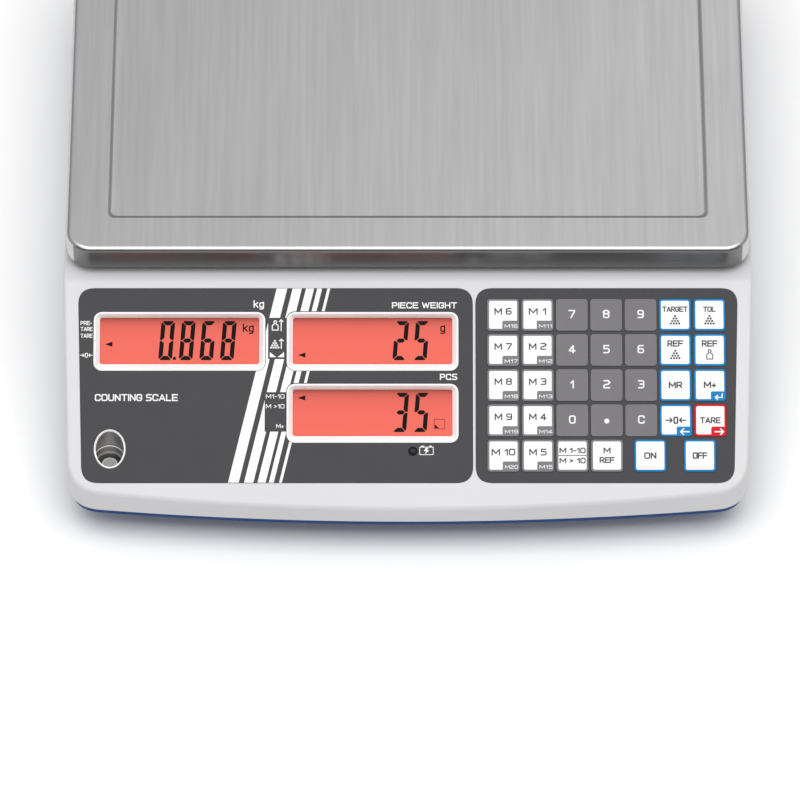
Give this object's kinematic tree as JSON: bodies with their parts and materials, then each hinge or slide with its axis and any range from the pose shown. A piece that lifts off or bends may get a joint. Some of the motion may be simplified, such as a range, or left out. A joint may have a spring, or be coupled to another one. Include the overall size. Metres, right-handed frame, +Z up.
{
  "type": "counting scale",
  "caption": "Bench-top counting scale: sloping front panel with red displays and a keypad, brushed steel pan behind it on a load cell, blue base shell on levelling feet.",
  "frame": {"origin": "middle of the overall box's footprint, on the surface the feet stand on", "axes": "+X to the user's right as they face the panel, +Y to the back, +Z up"},
  "size_m": [0.35, 0.364, 0.1025],
  "materials": {
    "housing_plastic": "light grey moulded ABS, fine texture",
    "base_plastic": "deep blue moulded ABS, fine texture",
    "foil": "dark grey printed membrane foil, matt",
    "number_key": "mid grey key with a white digit",
    "function_key": "white key with a coloured printed frame",
    "lcd_screen": "red backlit liquid crystal display",
    "lamp_lens": "unlit dark lens",
    "pan_steel": "stainless steel brushed front to back, satin",
    "carrier_aluminium": "die-cast aluminium",
    "cell_aluminium": "milled aluminium, clear anodised",
    "circuit_board": "green solder-masked board with components",
    "black_plastic": "black moulded nylon",
    "foot_rubber": "black rubber, matt",
    "level_glass": "clear acrylic bullseye level",
    "battery_case": "dark grey sealed lead-acid battery case"
  },
  "bodies": {
    "base": {"base_shell": "base_plastic", "top_housing": "housing_plastic", "load_cell": "cell_aluminium", "load_cell_riser": "cell_aluminium", "main_board": "circuit_board", "dc_socket": "black_plastic", "level_vial": "level_glass", "battery": "battery_case", "display_foil": "foil", "keypad_foil": "foil", "display_board": "circuit_board", "charge_lamp": "lamp_lens", "lcd_weight": "lcd_screen", "lcd_piece_weight": "lcd_screen", "lcd_count": "lcd_screen"},
    "carrier": {"pan_carrier": "carrier_aluminium"},
    "pan": {"weighing_pan": "pan_steel"},
    "battery_cover": {"battery_cover": "base_plastic"},
    "key_m10": {"key_m10": "function_key"},
    "key_m5": {"key_m5": "function_key"},
    "key_bank": {"key_bank": "function_key"},
    "key_m_ref": {"key_m_ref": "function_key"},
    "key_m9": {"key_m9": "function_key"},
    "key_m4": {"key_m4": "function_key"},
    "key_0": {"key_0": "number_key"},
    "key_point": {"key_point": "number_key"},
    "key_clear": {"key_clear": "number_key"},
    "key_zero": {"key_zero": "function_key"},
    "key_tare": {"key_tare": "function_key"},
    "key_m8": {"key_m8": "function_key"},
    "key_m3": {"key_m3": "function_key"},
    "key_1": {"key_1": "number_key"},
    "key_2": {"key_2": "number_key"},
    "key_3": {"key_3": "number_key"},
    "key_mr": {"key_mr": "function_key"},
    "key_m_plus": {"key_m_plus": "function_key"},
    "key_m7": {"key_m7": "function_key"},
    "key_m2": {"key_m2": "function_key"},
    "key_4": {"key_4": "number_key"},
    "key_5": {"key_5": "number_key"},
    "key_6": {"key_6": "number_key"},
    "key_ref_count": {"key_ref_count": "function_key"},
    "key_ref_weight": {"key_ref_weight": "function_key"},
    "key_m6": {"key_m6": "function_key"},
    "key_m1": {"key_m1": "function_key"},
    "key_7": {"key_7": "number_key"},
    "key_8": {"key_8": "number_key"},
    "key_9": {"key_9": "number_key"},
    "key_target": {"key_target": "function_key"},
    "key_tolerance": {"key_tolerance": "function_key"},
    "key_on": {"key_on": "function_key"},
    "key_off": {"key_off": "function_key"},
    "foot_pad_front_left": {"foot_pad_front_left": "foot_rubber"},
    "foot_screw_front_left": {"foot_screw_front_left": "black_plastic"},
    "foot_pad_front_right": {"foot_pad_front_right": "foot_rubber"},
    "foot_screw_front_right": {"foot_screw_front_right": "black_plastic"},
    "foot_pad_rear_left": {"foot_pad_rear_left": "foot_rubber"},
    "foot_screw_rear_left": {"foot_screw_rear_left": "black_plastic"},
    "foot_pad_rear_right": {"foot_pad_rear_right": "foot_rubber"},
    "foot_screw_rear_right": {"foot_screw_rear_right": "black_plastic"}
  },
  "joints": [
    {"name": "carrier_slide", "type": "slide", "parent": "base", "child": "carrier", "axis": [0, 0, -1], "range_m": [0, 0.0005], "stiffness_N_per_m": 100000, "springref_m": -0.0002},
    {"name": "pan_lift", "type": "slide", "parent": "carrier", "child": "pan", "axis": [0, 0, 1], "range_m": [0, 0.03]},
    {"name": "battery_cover_slide", "type": "slide", "parent": "base", "child": "battery_cover", "axis": [0, 0, -1], "range_m": [0, 0.008]},
    {"name": "key_m10_press", "type": "slide", "parent": "base", "child": "key_m10", "axis": [0, 0.4226, -0.9063], "range_m": [0, 0.0005], "stiffness_N_per_m": 2500},
    {"name": "key_m5_press", "type": "slide", "parent": "base", "child": "key_m5", "axis": [0, 0.4226, -0.9063], "range_m": [0, 0.0005], "stiffness_N_per_m": 2500},
    {"name": "key_bank_press", "type": "slide", "parent": "base", "child": "key_bank", "axis": [0, 0.4226, -0.9063], "range_m": [0, 0.0005], "stiffness_N_per_m": 2500},
    {"name": "key_m_ref_press", "type": "slide", "parent": "base", "child": "key_m_ref", "axis": [0, 0.4226, -0.9063], "range_m": [0, 0.0005], "stiffness_N_per_m": 2500},
    {"name": "key_m9_press", "type": "slide", "parent": "base", "child": "key_m9", "axis": [0, 0.4226, -0.9063], "range_m": [0, 0.0005], "stiffness_N_per_m": 2500},
    {"name": "key_m4_press", "type": "slide", "parent": "base", "child": "key_m4", "axis": [0, 0.4226, -0.9063], "range_m": [0, 0.0005], "stiffness_N_per_m": 2500},
    {"name": "key_0_press", "type": "slide", "parent": "base", "child": "key_0", "axis": [0, 0.4226, -0.9063], "range_m": [0, 0.0005], "stiffness_N_per_m": 2500},
    {"name": "key_point_press", "type": "slide", "parent": "base", "child": "key_point", "axis": [0, 0.4226, -0.9063], "range_m": [0, 0.0005], "stiffness_N_per_m": 2500},
    {"name": "key_clear_press", "type": "slide", "parent": "base", "child": "key_clear", "axis": [0, 0.4226, -0.9063], "range_m": [0, 0.0005], "stiffness_N_per_m": 2500},
    {"name": "key_zero_press", "type": "slide", "parent": "base", "child": "key_zero", "axis": [0, 0.4226, -0.9063], "range_m": [0, 0.0005], "stiffness_N_per_m": 2500},
    {"name": "key_tare_press", "type": "slide", "parent": "base", "child": "key_tare", "axis": [0, 0.4226, -0.9063], "range_m": [0, 0.0005], "stiffness_N_per_m": 2500},
    {"name": "key_m8_press", "type": "slide", "parent": "base", "child": "key_m8", "axis": [0, 0.4226, -0.9063], "range_m": [0, 0.0005], "stiffness_N_per_m": 2500},
    {"name": "key_m3_press", "type": "slide", "parent": "base", "child": "key_m3", "axis": [0, 0.4226, -0.9063], "range_m": [0, 0.0005], "stiffness_N_per_m": 2500},
    {"name": "key_1_press", "type": "slide", "parent": "base", "child": "key_1", "axis": [0, 0.4226, -0.9063], "range_m": [0, 0.0005], "stiffness_N_per_m": 2500},
    {"name": "key_2_press", "type": "slide", "parent": "base", "child": "key_2", "axis": [0, 0.4226, -0.9063], "range_m": [0, 0.0005], "stiffness_N_per_m": 2500},
    {"name": "key_3_press", "type": "slide", "parent": "base", "child": "key_3", "axis": [0, 0.4226, -0.9063], "range_m": [0, 0.0005], "stiffness_N_per_m": 2500},
    {"name": "key_mr_press", "type": "slide", "parent": "base", "child": "key_mr", "axis": [0, 0.4226, -0.9063], "range_m": [0, 0.0005], "stiffness_N_per_m": 2500},
    {"name": "key_m_plus_press", "type": "slide", "parent": "base", "child": "key_m_plus", "axis": [0, 0.4226, -0.9063], "range_m": [0, 0.0005], "stiffness_N_per_m": 2500},
    {"name": "key_m7_press", "type": "slide", "parent": "base", "child": "key_m7", "axis": [0, 0.4226, -0.9063], "range_m": [0, 0.0005], "stiffness_N_per_m": 2500},
    {"name": "key_m2_press", "type": "slide", "parent": "base", "child": "key_m2", "axis": [0, 0.4226, -0.9063], "range_m": [0, 0.0005], "stiffness_N_per_m": 2500},
    {"name": "key_4_press", "type": "slide", "parent": "base", "child": "key_4", "axis": [0, 0.4226, -0.9063], "range_m": [0, 0.0005], "stiffness_N_per_m": 2500},
    {"name": "key_5_press", "type": "slide", "parent": "base", "child": "key_5", "axis": [0, 0.4226, -0.9063], "range_m": [0, 0.0005], "stiffness_N_per_m": 2500},
    {"name": "key_6_press", "type": "slide", "parent": "base", "child": "key_6", "axis": [0, 0.4226, -0.9063], "range_m": [0, 0.0005], "stiffness_N_per_m": 2500},
    {"name": "key_ref_count_press", "type": "slide", "parent": "base", "child": "key_ref_count", "axis": [0, 0.4226, -0.9063], "range_m": [0, 0.0005], "stiffness_N_per_m": 2500},
    {"name": "key_ref_weight_press", "type": "slide", "parent": "base", "child": "key_ref_weight", "axis": [0, 0.4226, -0.9063], "range_m": [0, 0.0005], "stiffness_N_per_m": 2500},
    {"name": "key_m6_press", "type": "slide", "parent": "base", "child": "key_m6", "axis": [0, 0.4226, -0.9063], "range_m": [0, 0.0005], "stiffness_N_per_m": 2500},
    {"name": "key_m1_press", "type": "slide", "parent": "base", "child": "key_m1", "axis": [0, 0.4226, -0.9063], "range_m": [0, 0.0005], "stiffness_N_per_m": 2500},
    {"name": "key_7_press", "type": "slide", "parent": "base", "child": "key_7", "axis": [0, 0.4226, -0.9063], "range_m": [0, 0.0005], "stiffness_N_per_m": 2500},
    {"name": "key_8_press", "type": "slide", "parent": "base", "child": "key_8", "axis": [0, 0.4226, -0.9063], "range_m": [0, 0.0005], "stiffness_N_per_m": 2500},
    {"name": "key_9_press", "type": "slide", "parent": "base", "child": "key_9", "axis": [0, 0.4226, -0.9063], "range_m": [0, 0.0005], "stiffness_N_per_m": 2500},
    {"name": "key_target_press", "type": "slide", "parent": "base", "child": "key_target", "axis": [0, 0.4226, -0.9063], "range_m": [0, 0.0005], "stiffness_N_per_m": 2500},
    {"name": "key_tolerance_press", "type": "slide", "parent": "base", "child": "key_tolerance", "axis": [0, 0.4226, -0.9063], "range_m": [0, 0.0005], "stiffness_N_per_m": 2500},
    {"name": "key_on_press", "type": "slide", "parent": "base", "child": "key_on", "axis": [0, 0.4226, -0.9063], "range_m": [0, 0.0005], "stiffness_N_per_m": 2500},
    {"name": "key_off_press", "type": "slide", "parent": "base", "child": "key_off", "axis": [0, 0.4226, -0.9063], "range_m": [0, 0.0005], "stiffness_N_per_m": 2500},
    {"name": "foot_height_front_left", "type": "slide", "parent": "base", "child": "foot_pad_front_left", "axis": [0, 0, -1], "range_m": [0, 0.00376]},
    {"name": "foot_turn_front_left", "type": "hinge", "parent": "foot_pad_front_left", "child": "foot_screw_front_left", "pos_m": [-0.14, -0.136, 0.006], "axis": [0, 0, -1], "range_deg": [0, 1080]},
    {"name": "foot_height_front_right", "type": "slide", "parent": "base", "child": "foot_pad_front_right", "axis": [0, 0, -1], "range_m": [0, 0.00376]},
    {"name": "foot_turn_front_right", "type": "hinge", "parent": "foot_pad_front_right", "child": "foot_screw_front_right", "pos_m": [0.14, -0.136, 0.006], "axis": [0, 0, -1], "range_deg": [0, 1080]},
    {"name": "foot_height_rear_left", "type": "slide", "parent": "base", "child": "foot_pad_rear_left", "axis": [0, 0, -1], "range_m": [0, 0.00376]},
    {"name": "foot_turn_rear_left", "type": "hinge", "parent": "foot_pad_rear_left", "child": "foot_screw_rear_left", "pos_m": [-0.14, 0.148, 0.006], "axis": [0, 0, -1], "range_deg": [0, 1080]},
    {"name": "foot_height_rear_right", "type": "slide", "parent": "base", "child": "foot_pad_rear_right", "axis": [0, 0, -1], "range_m": [0, 0.00376]},
    {"name": "foot_turn_rear_right", "type": "hinge", "parent": "foot_pad_rear_right", "child": "foot_screw_rear_right", "pos_m": [0.14, 0.148, 0.006], "axis": [0, 0, -1], "range_deg": [0, 1080]}
  ],
  "couplings": [
    {"joint": "foot_height_front_left", "follows": "foot_turn_front_left", "m_per_rad": 0.00019894},
    {"joint": "foot_height_front_right", "follows": "foot_turn_front_right", "m_per_rad": 0.00019894},
    {"joint": "foot_height_rear_left", "follows": "foot_turn_rear_left", "m_per_rad": 0.00019894},
    {"joint": "foot_height_rear_right", "follows": "foot_turn_rear_right", "m_per_rad": 0.00019894}
  ]
}
